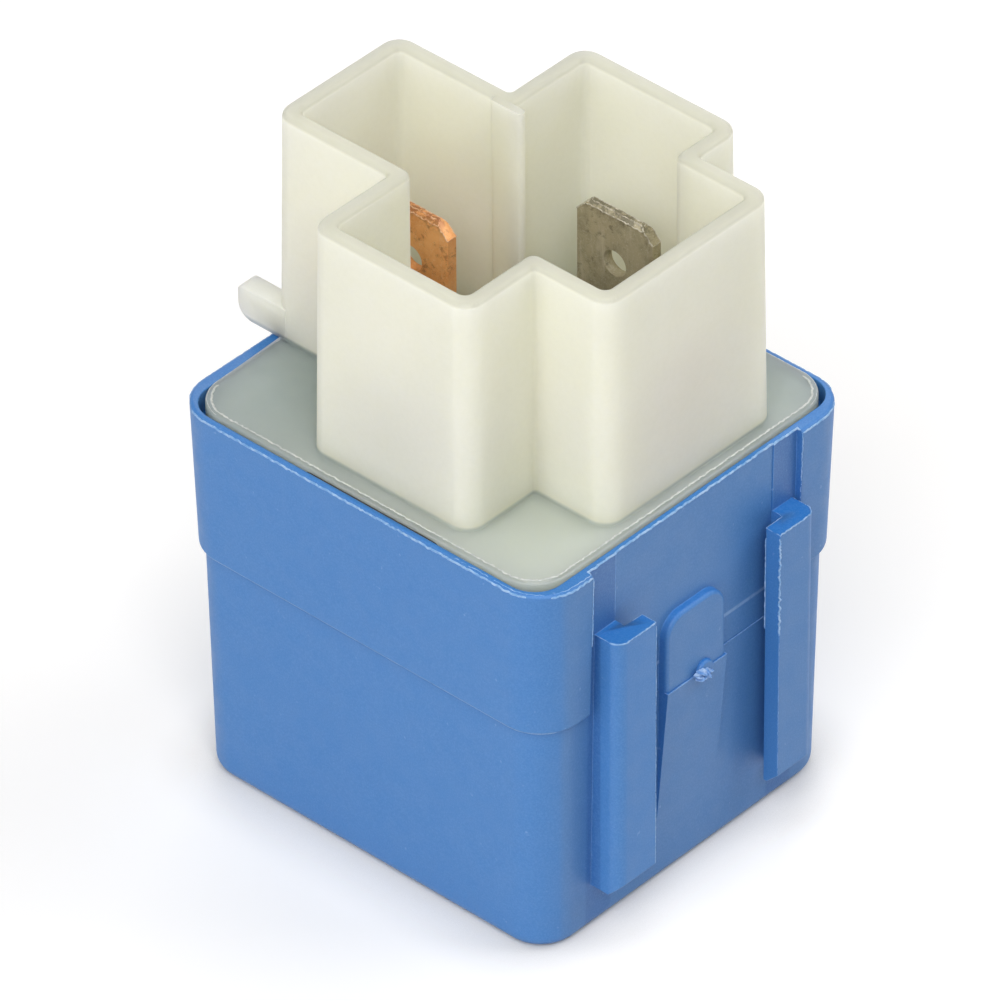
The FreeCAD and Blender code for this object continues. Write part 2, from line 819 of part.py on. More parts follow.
common_blade_y = (s.right_lobe_back - s.right_lobe_front) / 2
common_foot = spring_leg_top + s.common_clear
common = new_body("common_strip")
pad(common, "common_blank", "YZ_Plane", common_left, blade_outline(common_blade_y, [
    (common_blade_y - half_blade, common_foot),
    (common_blade_y + half_blade, common_foot)]), s.blade_thickness)
finish_blade(common, "common", common_left, common_blade_y, "x")
node("common_terminal", common)
slot("common_slot", (common_left, common_blade_y - half_blade),
     (common_right, common_blade_y + half_blade), plate_top)

# Back stop: a strip from the plate with a foot under the leaf's free end
stop_back = s.stop_y + s.stop_thickness / 2
stop_front = s.stop_y - s.stop_thickness / 2
stop_right = stop_x + s.stop_width
open_drop = (hinge_x - stop_x) * s.open_angle * (math.pi / 180)
stop_level = leaf_foot - s.contact_tail - open_drop - s.stop_gap
stop = joined("stop_strip", [
    block("stop_leg", (stop_x, stop_front, stop_level - s.stop_thickness),
          (stop_right, stop_back, plate_foot + s.stop_root)),
    block("stop_foot", (stop_x, contact_y - 1, stop_level - s.stop_thickness),
          (stop_x + s.stop_reach, stop_back, stop_level))])
node("back_stop", stop)
slot("stop_slot", (stop_x, stop_front), (stop_right, stop_back), plate_foot + s.stop_root)

# Magnet: yoke, core, bobbin, winding and its wrap

yoke_end = coil_x - s.yoke_reach
yoke_back = coil_blade_back_y - s.blade_thickness / 2 - s.yoke_clear
yoke_front = coil_y * 2 - yoke_back
yoke = new_body("yoke_bracket")
pad(yoke, "yoke_blank", "XZ_Plane", -yoke_back, [
    (yoke_end, yoke_under),
    (yoke_left, yoke_under),
    (yoke_left, s.pole_level),
    (yoke_right, s.pole_level),
    (yoke_right, yoke_top),
    (yoke_end, yoke_top)], yoke_back - yoke_front)
dress(yoke, "Fillet", "yoke_outside", s.yoke_bend,
      lambda edge: edge.BoundBox.YLength > 5
      and abs(edge.BoundBox.XMin - yoke_right.value) < 0.01
      and abs(edge.BoundBox.ZMin - yoke_top.value) < 0.01)
feature_rod(yoke, "Subtractive", "yoke_core_hole", (coil_x, coil_y, yoke_under - PAST),
            s.core_neck, s.yoke_thickness + 2 * PAST)
node("yoke", yoke)
for i, (x, y) in enumerate((
        (yoke_end + s.post_radius + s.post_inset, coil_y - s.post_spread),
        (yoke_end + s.post_radius + s.post_inset, coil_y + s.post_spread),
        (yoke_left - s.post_radius, coil_y - s.post_spread),
        (yoke_left - s.post_radius, coil_y + s.post_spread))):
    feature_rod(base, "Additive", "post_%d" % i, (x, y, yoke_top), s.post_radius, s.yoke_drop + s.post_root)
node("base", base)

pole_top = s.pole_level + s.pole_thickness
node("core", joined("core_pin", [
    rod("core_pole", (coil_x, coil_y, s.pole_level), s.pole_radius, s.pole_thickness),
    rod("core_shank", (coil_x, coil_y, s.pole_level), s.core_radius, yoke_under - s.pole_level),
    rod("core_stake", (coil_x, coil_y, s.pole_level), s.core_neck, yoke_top - s.pole_level),
    rod("core_rivet", (coil_x, coil_y, yoke_top), s.core_head, s.core_head_height)]))

bobbin_foot = pole_top + s.bobbin_gap
bore = s.core_radius + s.bobbin_gap
barrel = bore + s.bobbin_wall
flange_low = bobbin_foot + s.bobbin_flange
flange_high = bobbin_top - s.bobbin_flange
bobbin = joined("bobbin_spool", [
    block("bobbin_lower", (coil_x - half_side, coil_y - half_side, bobbin_foot),
          (coil_x + half_side, coil_y + half_side, flange_low)),
    block("bobbin_upper", (coil_x - half_side, coil_y - half_side, flange_high),
          (coil_x + half_side, coil_y + half_side, bobbin_top)),
    rod("bobbin_barrel", (coil_x, coil_y, bobbin_foot), barrel, bobbin_top - bobbin_foot)])
node("bobbin", without("bobbin_bored", bobbin, [
    rod("bobbin_bore", (coil_x, coil_y, bobbin_foot - PAST), bore,
        bobbin_top - bobbin_foot + 2 * PAST)]))


def sleeve(name, inside, outside):
    """A tube between the bobbin's flanges."""
    low = flange_low + s.winding_gap
    length = flange_high - flange_low - s.winding_gap * 2
    outer = rod(name + "_outer", (coil_x, coil_y, low), outside, length)
    inner = rod(name + "_inner", (coil_x, coil_y, low - PAST), inside, length + 2 * PAST)
    return node(name, without(name + "_tube", outer, [inner]))


sleeve("coil_winding", barrel + s.winding_gap, winding_radius)
sleeve("coil_wrap", winding_radius, winding_radius + s.tape_thickness)

# Armature group, drawn closed and then let down about the hinge to its open rest

hinge_z = s.pole_level - s.armature_gap / 2


def let_down(item):
    """Turns a piece of the armature group about the hinge, to where the spring holds it."""
    centre = Vector(hinge_x.value, 0, hinge_z.value)
    turn = Rotation(Vector(0, 1, 0), -s.open_angle.value)
    item.Placement = FreeCAD.Placement(Vector(), turn, centre)
    return item


plate_front = coil_y - s.armature_width / 2
plate_back = coil_y + s.armature_width / 2
armature_left = contact_x + s.contact_radius + s.armature_clear
armature = new_body("armature_plate")
pad(armature, "armature_blank", "XY_Plane", armature_foot, [
    (armature_left, plate_front + s.armature_notch),
    (armature_left + s.armature_notch, plate_front),
    (hinge_x, plate_front),
    (hinge_x, plate_back),
    (armature_left + s.armature_notch, plate_back),
    (armature_left, plate_back - s.armature_notch)], s.armature_thickness)
node("armature", let_down(armature))

leaf = new_body("leaf")
leaf_left = contact_x - s.contact_radius - s.leaf_margin
leaf_right = hinge_x - s.leaf_inset
rivet_x = hinge_x - s.rivet_inset
tongue_front_y = contact_y - s.leaf_tongue / 2
tongue_back_y = contact_y + s.leaf_tongue / 2
leaf_front = coil_y - s.leaf_width / 2
leaf_back = coil_y + s.leaf_width / 2
pad(leaf, "leaf_blank", "XY_Plane", leaf_foot, [
    (leaf_left, tongue_front_y),
    (armature_left, tongue_front_y),
    (armature_left + s.leaf_shoulder, leaf_front),
    (leaf_right, leaf_front),
    (leaf_right, leaf_back),
    (armature_left + s.leaf_shoulder, leaf_back),
    (armature_left, tongue_back_y),
    (leaf_left, tongue_back_y)], s.leaf_thickness)
feature_rod(leaf, "Subtractive", "leaf_contact_hole", (contact_x, contact_y, leaf_foot - PAST),
            s.contact_neck, s.leaf_thickness + 2 * PAST)
rivets = []
for i, sign in enumerate((-1, 1)):
    spot_y = coil_y + sign * s.rivet_spread
    feature_rod(leaf, "Subtractive", "leaf_rivet_hole_%d" % i, (rivet_x, spot_y, leaf_foot - PAST),
                s.rivet_neck, s.leaf_thickness + 2 * PAST)
    rivets.append(rod("leaf_rivet_head_%d" % i, (rivet_x, spot_y, leaf_foot - s.rivet_height),
                      s.rivet_head, s.rivet_height))
    rivets.append(rod("leaf_rivet_neck_%d" % i, (rivet_x, spot_y, leaf_foot - s.rivet_height),
                      s.rivet_neck, s.rivet_height + s.leaf_thickness))
node("contact_leaf", let_down(leaf))
node("leaf_rivets", let_down(joined("leaf_rivet_pair", rivets)))
node("moving_contact", let_down(joined("moving_rivet", [
    rod("moving_head", (contact_x, contact_y, armature_foot), s.contact_radius, s.contact_height),
    rod("moving_neck", (contact_x, contact_y, leaf_foot), s.contact_neck, s.leaf_thickness),
    rod("moving_tail", (contact_x, contact_y, leaf_foot - s.contact_tail),
        s.contact_neck + s.contact_spread, s.contact_tail)])))
node("fixed_contact", joined("fixed_rivet", [
    rod("fixed_head", (contact_x, contact_y, fixed_face), s.contact_radius, s.contact_height),
    rod("fixed_neck", (contact_x, contact_y, fixed_face), s.contact_neck,
        s.contact_height + s.foot_thickness),
    rod("fixed_tail", (contact_x, contact_y, foot_level + s.foot_thickness),
        s.contact_neck + s.contact_spread, s.contact_tail)]))

# Hinge spring: a leg on the yoke's back, a bend round its end and a short tail under the leaf
spring_front = coil_y - s.spring_width / 2
spring_back = coil_y + s.spring_width / 2
tail_top = leaf_foot - s.spring_clear
bend_x = yoke_right - s.spring_bend
bend_z = tail_top + s.spring_bend
spring_right = yoke_right + s.leaf_thickness
rivet_level = spring_leg_top - s.rivet_drop
outer = rod("spring_outer", (bend_x, spring_front, bend_z), s.spring_bend + s.leaf_thickness,
            s.spring_width, "y")
inner = rod("spring_inner", (bend_x, spring_front - PAST, bend_z), s.spring_bend,
            s.spring_width + 2 * PAST, "y")
outer.Angle = 90
spring = joined("spring_strip", [
    without("spring_curve", outer, [inner]),
    block("spring_leg", (yoke_right, spring_front, bend_z), (spring_right, spring_back, spring_leg_top)),
    block("spring_toe", (bend_x - s.spring_tail, spring_front, tail_top - s.leaf_thickness),
          (bend_x, spring_back, tail_top))])
spring_holes = []
spring_rivets = []
for i, sign in enumerate((-1, 1)):
    spot_y = coil_y + sign * s.rivet_spread
    spring_holes.append(rod("spring_hole_%d" % i, (yoke_right - PAST, spot_y, rivet_level),
                            s.rivet_neck, s.leaf_thickness + 2 * PAST, "x"))
    spring_rivets.append(rod("spring_rivet_head_%d" % i, (spring_right, spot_y, rivet_level),
                             s.rivet_head, s.rivet_height, "x"))
    spring_rivets.append(rod("spring_rivet_neck_%d" % i, (yoke_right, spot_y, rivet_level),
                             s.rivet_neck, s.leaf_thickness + s.rivet_height, "x"))
node("hinge_spring", without("spring_drilled", spring, spring_holes))
node("hinge_rivets", joined("spring_rivet_pair", spring_rivets))

# Suppressor across the coil, and the coil's own leads

resistor_x = load_strip_right + s.resistor_clear + s.resistor_radius
resistor_z = plate_foot - s.resistor_drop
node("resistor", rod("resistor_body", (resistor_x, coil_y - s.resistor_length / 2, resistor_z),
                     s.resistor_radius, s.resistor_length, "y"))


def wire(name, points, radius):
    """A round wire through the points, with ball corners."""
    items = []
    for i, (start, end) in enumerate(zip(points, points[1:])):
        changes = [as_size(b).value - as_size(a).value for a, b in zip(start, end)]
        number = max(range(3), key=lambda k: abs(changes[k]))
        low = start if changes[number] > 0 else end
        high = end if changes[number] > 0 else start
        items.append(rod("%s_run_%d" % (name, i), low, radius, as_size(high[number]) - low[number],
                         "xyz"[number]))
    for i, point in enumerate(points[1:-1]):
        ball = doc.addObject("Part::Sphere", "%s_ball_%d" % (name, i))
        bind(ball, "Radius", radius)
        move_to(ball, *point)
        items.append(ball)
    return node(name, joined(name + "_wire", items))


for letter, middle, sign in (("a", coil_blade_back_y, 1), ("b", coil_blade_front_y, -1)):
    resistor_end = coil_y + sign * s.resistor_length / 2
    wire("resistor_lead_" + letter, [
        (resistor_x, resistor_end, resistor_z),
        (resistor_x, middle, resistor_z),
        (tang_left, middle, resistor_z)], s.resistor_lead)
    lead_x = tang_left + s.tang_width / 2
    run_y = coil_y + sign * (half_side + s.lead_radius * 2)
    start_y = coil_y + sign * (winding_radius + s.tape_thickness)
    lead_z = tang_end + s.lead_radius * 4
    end_y = middle - sign * s.blade_thickness / 2
    wire("coil_lead_" + letter, [
        (lead_x, start_y, flange_high - s.bobbin_flange),
        (lead_x, run_y, flange_high - s.bobbin_flange),
        (lead_x, run_y, lead_z),
        (lead_x, end_y, lead_z)], s.lead_radius)

doc.recompute()
for item in doc.Objects:
    if "Invalid" in item.State or "Error" in item.State:
        raise RuntimeError("object failed: " + item.Label)
for name, item in nodes.items():
    if item.Shape.isNull() or not item.Shape.isValid() or not item.Shape.Solids:
        raise RuntimeError("bad shape: " + name)

os.makedirs("parts", exist_ok=True)
for name, item in nodes.items():
    item.Shape.exportStep("parts/%s.step" % name)
    box = item.Shape.BoundBox
    print("%-18s solids %d volume %.1f x %.2f %.2f y %.2f %.2f z %.2f %.2f" % (
        name, len(item.Shape.Solids), item.Shape.Volume,
        box.XMin, box.XMax, box.YMin, box.YMax, box.ZMin, box.ZMax))
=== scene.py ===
import math

import bmesh
import bpy
from mathutils import Matrix, Vector, noise


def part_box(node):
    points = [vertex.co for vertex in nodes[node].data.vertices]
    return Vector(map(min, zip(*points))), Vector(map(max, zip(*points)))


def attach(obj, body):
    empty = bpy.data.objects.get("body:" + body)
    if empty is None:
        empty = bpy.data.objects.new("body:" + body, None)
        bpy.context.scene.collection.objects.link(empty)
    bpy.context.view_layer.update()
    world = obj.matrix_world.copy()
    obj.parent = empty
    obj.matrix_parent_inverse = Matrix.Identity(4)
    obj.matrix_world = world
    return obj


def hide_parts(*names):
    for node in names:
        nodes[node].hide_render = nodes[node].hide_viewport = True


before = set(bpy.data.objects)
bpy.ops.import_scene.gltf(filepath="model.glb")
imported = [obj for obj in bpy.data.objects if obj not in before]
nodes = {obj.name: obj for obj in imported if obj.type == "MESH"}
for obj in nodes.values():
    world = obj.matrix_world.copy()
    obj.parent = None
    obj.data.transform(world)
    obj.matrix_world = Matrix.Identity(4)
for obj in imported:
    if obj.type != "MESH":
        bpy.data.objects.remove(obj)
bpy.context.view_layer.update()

MM = 0.001

# Places on the object, in millimetres

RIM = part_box("cover")[1][2] / MM
SHROUD_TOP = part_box("base")[1][2] / MM
PLATE_TOP = 29.23
RAIL_TOP = 23.70
STEP_FOOT = 17.84  # the lower edge of the collar's step
PARTING = 15.60  # the mould's parting line
LIP_FOOT = 4.2
CUP_FLOOR, CUP_MOUTH = 0.5, 27.4
CUP_HALF_X, CUP_HALF_Y = 14.3, 13.2
COLLAR_HALF_X, COLLAR_HALF_Y = 14.95, 14.0  # just inside the collar's outer edge
WALL_FACE = 14.5  # these faces on the rail side are limits, a little behind the real ones
COLLAR_FACE = 15.3
RAIL_ROOT = 15.6
RAIL_FACE = 17.0
RAIL_INSIDE = 7.30
LIP_EDGE = 5.75
TONGUE_HALF = 3.4
RECESS_MIDDLE, RECESS_HALF = 8.5, 1.0
GATE = Vector((15.91, 0.35, PARTING))
GATE_STUB = Vector((15.95, -0.05, 15.62))
PLATE_HALF_X, PLATE_HALF_Y, PLATE_CORNER = 14.63, 13.875, 2.0
EDGE_HALF_X, EDGE_HALF_Y = 12.5, 11.5  # just inside the plate's edge
CATCH_SIDE, CATCH_LIP, CATCH_DROP = 13.0, 0.20, 0.5  # where it starts, its roof's depth and drop
GAP_SIDE, GAP_HEIGHT = -13.915, 28.99
POST_X, POST_Y = (-6.2, -3.4), (4.6, 5.4)  # a little past the post's edges
TAB_ROOT = -15.3
BLADE_FREE, BLADE_BEVEL = 30.0, 36.6
STAIN_FOOT, STAIN_TOP = 38.0, 38.9
FAR = 99.0

# Camera: lens in pixels, angles in degrees

FOCUS_PX = 11941.1
IMAGE_PX = 1001
SENSOR = 36.0
AZIMUTH, ELEVATION, ROLL = 42.4069, 37.9481, -0.3264
DISTANCE = 744.924 * MM
AIM_HEIGHT, AIM_SIDE = 20.8928 * MM, -0.7466 * MM
camera_data = bpy.data.cameras.new("camera")
camera_data.sensor_width = SENSOR
camera_data.lens = FOCUS_PX * SENSOR / IMAGE_PX
camera_data.clip_start = 0.05
camera_data.clip_end = 20.0
camera = bpy.data.objects.new("camera", camera_data)
bpy.context.scene.collection.objects.link(camera)
turn, tilt, roll = (math.radians(angle) for angle in (AZIMUTH, ELEVATION, ROLL))
back = Vector((math.sin(turn) * math.cos(tilt), -math.cos(turn) * math.cos(tilt), math.sin(tilt)))
aside = Vector((math.cos(turn), math.sin(turn), 0.0))
upward = back.cross(aside)
right = math.cos(roll) * aside + math.sin(roll) * upward
above = -math.sin(roll) * aside + math.cos(roll) * upward
target = Vector((0, 0, AIM_HEIGHT)) + AIM_SIDE * aside
camera.rotation_mode = "QUATERNION"
camera.rotation_quaternion = Matrix((right, above, back)).transposed().to_quaternion()
camera.location = target + back * DISTANCE
bpy.context.scene.camera = camera
bpy.context.scene.view_settings.view_transform = "Standard"


# Material helpers

def linear(red, green, blue):
    """A colour given as it looks on screen, from 0 to 255."""
    def open_up(value):
        value /= 255
        return value / 12.92 if value <= 0.04045 else ((value + 0.055) / 1.055) ** 2.4
    return (open_up(red), open_up(green), open_up(blue), 1.0)


class Surface:
    """A material and short ways to add shader nodes to it."""

    def __init__(self, name):
        self.material = bpy.data.materials.new(name)
        self.material.use_nodes = True
        self.tree = self.material.node_tree
        self.shader = self.tree.nodes["Principled BSDF"]
        coordinates = self.node("ShaderNodeTexCoord")
        self.place = coordinates.outputs["Object"]
        self.facing = coordinates.outputs["Normal"]

    def node(self, kind, **settings):
        item = self.tree.nodes.new(kind)
        for name, value in settings.items():
            setattr(item, name, value)
        return item

    def feed(self, socket, value):
        """Links an output to a socket, or writes a constant on it."""
        if isinstance(value, bpy.types.NodeSocket):
            self.tree.links.new(value, socket)
        else:
            socket.default_value = value

    def noise(self, scale, detail=3.0, rough=0.5, stretch=None):
        """Noise with its scale in features per millimetre."""
        place = self.place
        if stretch:
            mapping = self.node("ShaderNodeMapping")
            self.feed(mapping.inputs["Vector"], place)
            self.feed(mapping.inputs["Scale"], stretch)
            place = mapping.outputs["Vector"]
        item = self.node("ShaderNodeTexNoise")
        self.feed(item.inputs["Vector"], place)
        self.feed(item.inputs["Scale"], scale / MM)
        self.feed(item.inputs["Detail"], detail)
        self.feed(item.inputs["Roughness"], rough)
        return item.outputs["Fac"]

    def math(self, kind, first, second=0.5):
        item = self.node("ShaderNodeMath", operation=kind)
        self.feed(item.inputs[0], first)
        self.feed(item.inputs[1], second)
        return item.outputs[0]

    def ramp(self, value, low, high, to_low=0.0, to_high=1.0):
        item = self.node("ShaderNodeMapRange", interpolation_type="SMOOTHSTEP")
        for name, entry in (("Value", value), ("From Min", low), ("From Max", high),
                            ("To Min", to_low), ("To Max", to_high)):
            self.feed(item.inputs[name], entry)
        return item.outputs["Result"]

    def vector(self, kind, first, second=(0.0, 0.0, 0.0)):
        item = self.node("ShaderNodeVectorMath", operation=kind)
        self.feed(item.inputs[0], first)
        self.feed(item.inputs[1], second)
        return item.outputs["Vector"]

    def mix(self, share, first, second):
        item = self.node("ShaderNodeMix", data_type="RGBA")
        self.feed(item.inputs[0], share)
        self.feed(item.inputs[6], first)
        self.feed(item.inputs[7], second)
        return item.outputs[2]

    def axes(self, vector):
        item = self.node("ShaderNodeSeparateXYZ")
        self.feed(item.inputs[0], vector)
        return item.outputs[0], item.outputs[1], item.outputs[2]

    def band(self, value, centre, half, soft):
        """One near a value in millimetres, falling to nothing beside it."""
        away = self.math("ABSOLUTE", self.math("SUBTRACT", value, centre * MM))
        return self.ramp(away, half * MM, (half + soft) * MM, 1.0, 0.0)

    def bumps(self, entries):
        """Stacks height maps, each with a strength and a distance in millimetres."""
        normal = None
        for height, strength, distance in entries:
            item = self.node("ShaderNodeBump")
            self.feed(item.inputs["Height"], height)
            self.feed(item.inputs["Strength"], strength)
            self.feed(item.inputs["Distance"], distance * MM)
            if normal:
                self.feed(item.inputs["Normal"], normal)
            normal = item.outputs["Normal"]
        self.feed(self.shader.inputs["Normal"], normal)

    def set(self, **values):
        for name, value in values.items():
            self.shader.inputs[name.replace("_", " ")].default_value = value


def blue_plastic():
    m = Surface("blue_moulded_plastic")
    # Side faces take a paler blue with a painted sheen of the pale surround; tops a deeper blue
    side = (0.044, 0.190, 0.490, 1.0)
    top = (0.016, 0.168, 0.500, 1.0)
    x, y, z = m.axes(m.place)
    toward, _, up = m.axes(m.facing)
    cloud = m.noise(0.06, 4.0, 0.6)
    grain = m.noise(8.0, 2.0, 0.6)
    speck = m.noise(1.7, 2.0, 0.6)
    # The rail side is greyer and redder, a painted dimmer and warmer light on faces turned that way,
    # but not the left rail's face
    on_left = m.ramp(y, 0.0, 1.0 * MM, 1.0, 0.0)
    left_rail = m.math("MULTIPLY", m.ramp(x, (RAIL_FACE - 0.1) * MM, RAIL_FACE * MM), on_left)
    front = m.math("MULTIPLY", m.ramp(toward, 0.90, 0.98), m.math("SUBTRACT", 1.0, left_rail))
    base = m.mix(front, side, (0.058, 0.186, 0.440, 1.0))
    # The recesses beside the rails get a painted shade, a darker and deeper blue
    recess_shade = m.band(m.math("ABSOLUTE", y), RECESS_MIDDLE, RECESS_HALF, 0.3)
    recess_shade = m.math("MULTIPLY", recess_shade, m.ramp(x, (CUP_HALF_X - 0.1) * MM, (CUP_HALF_X + 0.1) * MM))
    recess_shade = m.math("MULTIPLY", recess_shade,
                    m.ramp(x, (RAIL_ROOT - 0.1) * MM, (RAIL_ROOT + 0.1) * MM, 1.0, 0.0))
    base = m.mix(m.math("MULTIPLY", recess_shade, 0.55), base, (0.018, 0.100, 0.330, 1.0))
    # Faces turned up take the deeper blue, without the painted sheen of the side faces
    base = m.mix(m.ramp(up, 0.45, 0.9), base, top)
    base = m.mix(m.ramp(cloud, 0.3, 0.7, 0.0, 0.10), base, linear(92, 140, 196))
    base = m.mix(m.ramp(grain, 0.35, 0.75, 0.0, 0.16), base, linear(120, 168, 222))
    base = m.mix(m.ramp(m.noise(13.0, 2.0, 0.6), 0.38, 0.62, 0.0, 0.12), base, linear(30, 84, 158))
    base = m.mix(m.ramp(speck, 0.70, 0.80, 0.0, 0.25), base, linear(160, 192, 228))
    # The step's lower edge is worn pale, but not across the rails
    patches = m.ramp(m.noise(0.9, 4.0, 0.7), 0.28, 0.52)
    worn = m.math("MULTIPLY", m.band(z, STEP_FOOT, 0.06, 0.14), patches)
    worn = m.math("MULTIPLY", worn, m.ramp(x, (COLLAR_HALF_X - 0.05) * MM,
                                           (COLLAR_HALF_X + 0.05) * MM, 1.0, 0.0))
    base = m.mix(m.math("MULTIPLY", worn, 0.75), base, linear(160, 192, 230))
    m.feed(m.shader.inputs["Base Color"], base)
    m.feed(m.shader.inputs["Roughness"], m.ramp(m.noise(0.7, 3.0), 0.3, 0.7, 0.44, 0.54))
    m.set(Specular_IOR_Level=0.58, Subsurface_Weight=0.12, Subsurface_Radius=(0.4, 0.7, 1.0),
          Subsurface_Scale=0.6 * MM)
    m.bumps([
        (m.noise(0.12, 2.0, 0.5), 0.35, 0.10),
        (m.noise(9.0, 2.0, 0.6), 0.28, 0.006),
        (m.noise(16.0, 2.0, 0.6), 0.30, 0.004),
    ])
    return m.material


def ivory_plastic():
    m = Surface("ivory_translucent_plastic")
    x, y, z = m.axes(m.place)
    up = m.axes(m.facing)[2]
    cloud = m.noise(0.09, 4.0, 0.6)
    base = m.mix(m.ramp(cloud, 0.3, 0.7), (0.812, 0.800, 0.608, 1.0), (0.834, 0.822, 0.650, 1.0))
    grain = m.noise(2.6, 3.0, 0.7)
    base = m.mix(m.ramp(grain, 0.35, 0.7, 0.0, 0.10), base, (0.70, 0.69, 0.50, 1.0))
    # The tops of the shroud's walls are darkened, a painted shade against the light that falls on them
    # from above
    near_top = m.ramp(z, (SHROUD_TOP - 0.98) * MM, (SHROUD_TOP - 0.48) * MM)
    wall_top_shade = m.math("MULTIPLY", near_top, m.ramp(up, 0.0, 0.6))
    base = m.mix(m.math("MULTIPLY", wall_top_shade, 0.9), base, (0.47, 0.465, 0.375, 1.0))
    # The plate is greener and darker, with a painted shade that is least at the front corner; it is
    # darkest in the band outside its flash line, which is found by the distance from a smaller box
    # inside the round corners
    plate = m.ramp(z, (PLATE_TOP + 0.05) * MM, (PLATE_TOP + 0.37) * MM, 1.0, 0.0)
    inner = ((PLATE_HALF_X - PLATE_CORNER) * MM, (PLATE_HALF_Y - PLATE_CORNER) * MM, 1.0)
    beyond = m.vector("SUBTRACT", m.vector("ABSOLUTE", m.place), inner)
    beyond = m.vector("MAXIMUM", beyond, (0.0, 0.0, 0.0))
    away = m.node("ShaderNodeVectorMath", operation="LENGTH")
    m.feed(away.inputs[0], beyond)
    band = m.ramp(away.outputs["Value"], (PLATE_CORNER - 0.42) * MM, (PLATE_CORNER - 0.36) * MM)
    # Painted shade: lightest at the front corner, darkest toward the back left beside the shroud
    front = m.ramp(m.math("SUBTRACT", x, m.math("MULTIPLY", y, 0.9)), -6 * MM, 20 * MM)
    plate_tone_and_shade = m.mix(front, (0.262, 0.328, 0.335, 1.0), (0.500, 0.555, 0.500, 1.0))
    plate_tone_and_shade = m.mix(m.ramp(m.noise(0.11, 3.0, 0.6), 0.3, 0.7, 0.0, 0.12), plate_tone_and_shade, (0.620, 0.660, 0.600, 1.0))
    plate_tone_and_shade = m.mix(m.math("MULTIPLY", band, 0.45), plate_tone_and_shade, (0.260, 0.310, 0.290, 1.0))
    base = m.mix(m.math("MULTIPLY", plate, 0.92), base, plate_tone_and_shade)
    m.feed(m.shader.inputs["Base Color"], base)
    m.feed(m.shader.inputs["Roughness"], m.ramp(m.noise(0.8, 3.0), 0.3, 0.7, 0.42, 0.54))
    m.set(Specular_IOR_Level=0.35, Subsurface_Weight=1.0, Subsurface_Radius=(1.0, 0.96, 0.80),
          Subsurface_Scale=7.0 * MM)
    m.bumps([
        (m.noise(0.16, 2.0, 0.5), 0.35, 0.09),
        (m.noise(6.0, 2.0, 0.6), 0.25, 0.008),
    ])
    return m.material


def pale_flash(name, colour, other):
    """Torn, whitened plastic along the edges."""
    m = Surface(name)
    share = m.ramp(m.noise(2.4, 3.0, 0.6), 0.35, 0.65)
    m.feed(m.shader.inputs["Base Color"], m.mix(share, colour, other))
    m.feed(m.shader.inputs["Roughness"], m.ramp(m.noise(1.2, 3.0), 0.3, 0.7, 0.45, 0.6))
    m.set(Specular_IOR_Level=0.4, Subsurface_Weight=0.2, Subsurface_Radius=(0.8, 0.9, 1.0),
          Subsurface_Scale=0.4 * MM)
    m.bumps([(m.noise(9.0, 3.0, 0.6), 0.4, 0.02)])
    return m.material


def blade_metal(name, main, dark, pale, pit, metallic, rough):
    m = Surface(name)
    m.set(Metallic=metallic)
    streak = m.noise(1.0, 4.0, 0.65, stretch=(1.0, 1.0, 0.12))
    blotch = m.noise(0.5, 5.0, 0.7)
    speck = m.noise(1.5, 7.0, 0.8)
    fine = m.noise(9.0, 3.0, 0.7)
    base = m.mix(m.ramp(blotch, 0.35, 0.65), main, dark)
    base = m.mix(m.ramp(streak, 0.55, 0.75, 0.0, 0.5), base, pale)
    base = m.mix(m.ramp(fine, 0.52, 0.72, 0.0, 0.45), base, pale)
    base = m.mix(m.ramp(speck, 0.54, 0.66, 0.0, 0.60), base, pit)
    # Dark stains along the worn tip
    tip = m.ramp(m.axes(m.place)[2], STAIN_FOOT * MM, STAIN_TOP * MM)
    stain = m.ramp(m.noise(1.1, 5.0, 0.7), 0.46, 0.56, 0.0, 0.7)
    base = m.mix(m.math("MULTIPLY", tip, stain), base, pit)
    m.feed(m.shader.inputs["Base Color"], base)
    m.feed(m.shader.inputs["Roughness"], m.ramp(blotch, 0.3, 0.7, rough - 0.06, rough + 0.08))
    m.bumps([
        (streak, 0.25, 0.02),
        (fine, 0.35, 0.012),
        (speck, 0.45, 0.03),
    ])
    return m.material


def inner_finish(name, main, other, rough, metallic=0.0, scale=1.0, stretch=None):
    """A finish for the pieces inside the closed case."""
    m = Surface(name)
    m.set(Metallic=metallic)
    pattern = m.noise(scale, 4.0, 0.6, stretch=stretch)
    m.feed(m.shader.inputs["Base Color"], m.mix(m.ramp(pattern, 0.35, 0.65), main, other))
    m.feed(m.shader.inputs["Roughness"], m.ramp(pattern, 0.3, 0.7, rough - 0.05, rough + 0.07))
    m.bumps([(pattern, 0.3, 0.02)])
    return m.material


blue = blue_plastic()
ivory = ivory_plastic()
blue_flash = pale_flash("blue_flash", linear(112, 160, 214), linear(160, 192, 230))
blue_torn = pale_flash("blue_torn", linear(90, 140, 204), linear(166, 194, 230))
blue_line = pale_flash("blue_line", linear(96, 142, 204), linear(124, 164, 214))
ivory_flash = pale_flash("ivory_flash", linear(190, 196, 194), linear(216, 219, 216))
copper = blade_metal("copper_blade", linear(246, 182, 118), linear(232, 160, 98),
                     linear(248, 214, 172), linear(140, 78, 44), 0.30, 0.38)
tin = blade_metal("tinned_blade", linear(182, 172, 144), linear(158, 149, 124),
                  linear(218, 212, 194), linear(92, 88, 72), 0.35, 0.44)
copper_burr = pale_flash("copper_burr", linear(200, 130, 84), linear(246, 206, 168))
tin_burr = pale_flash("tin_burr", linear(150, 142, 124), linear(226, 220, 206))
bronze = inner_finish("spring_bronze", linear(200, 156, 104), linear(182, 138, 90), 0.35, 1.0, 1.2)
